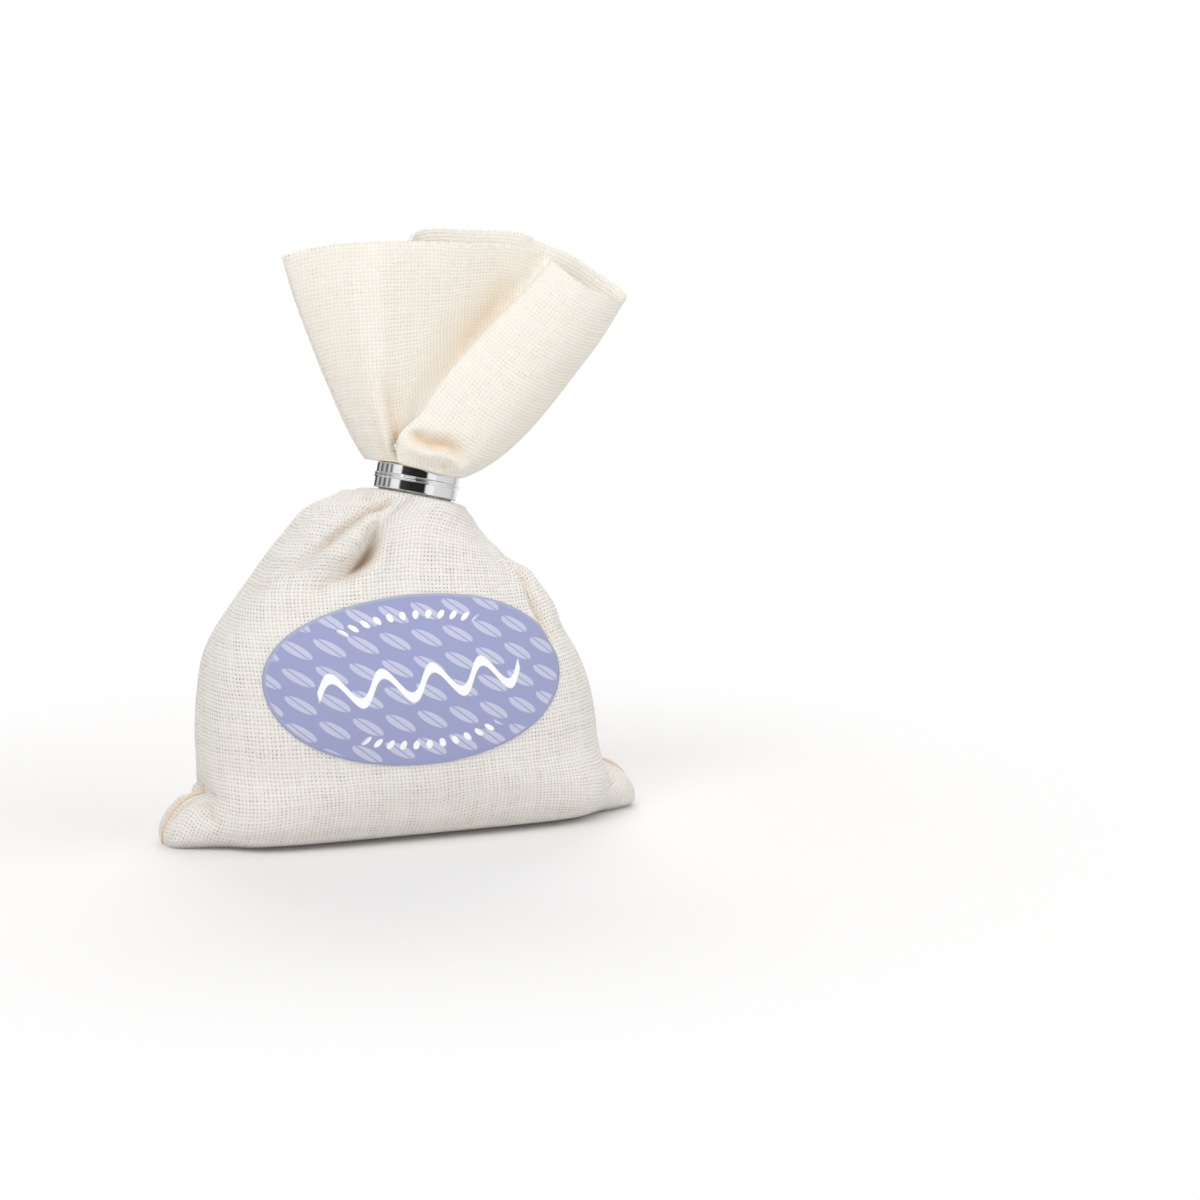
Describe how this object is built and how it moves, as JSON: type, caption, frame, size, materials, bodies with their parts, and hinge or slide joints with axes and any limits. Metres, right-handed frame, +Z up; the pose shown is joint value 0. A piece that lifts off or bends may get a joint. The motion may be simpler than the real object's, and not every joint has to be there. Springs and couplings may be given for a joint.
{
  "type": "lavender sachet",
  "caption": "Linen sachet of sewn panels, filled with dried lavender, closed by a metal ring on its gathered neck under a fanned collar, with an oval label in front.",
  "frame": {"origin": "on the floor, under the middle of the part's outer box", "axes": "+Z up along the standing bag, front with the label towards -Y, +X to the right of someone facing the front"},
  "size_m": [0.0989, 0.0447, 0.1167],
  "materials": {
    "linen": "plain open weave, matte",
    "thread": "matte",
    "lavender": "dried plant matter, matte",
    "lavender_buds": "dried plant matter, matte",
    "label": "printed sticker, matte",
    "ring": "polished"
  },
  "bodies": {
    "bag": {"front_panel": "linen", "back_panel": "linen", "left_seam_thread": "thread", "right_seam_thread": "thread", "bottom_seam_thread": "thread", "lavender_fill": "lavender", "lavender_bud_01": "lavender_buds", "lavender_bud_02": "lavender_buds", "lavender_bud_03": "lavender_buds", "lavender_bud_04": "lavender_buds", "lavender_bud_05": "lavender_buds", "lavender_bud_06": "lavender_buds", "lavender_bud_07": "lavender_buds", "lavender_bud_08": "lavender_buds", "lavender_bud_09": "lavender_buds", "label": "label"},
    "ring": {"closure_ring": "ring"}
  },
  "joints": [
    {"name": "ring_slide", "type": "slide", "parent": "bag", "child": "ring", "axis": [0.2241, 0.0849, 0.9708], "range_m": [0, 0.056], "deforming": ["front_panel", "back_panel"]}
  ]
}
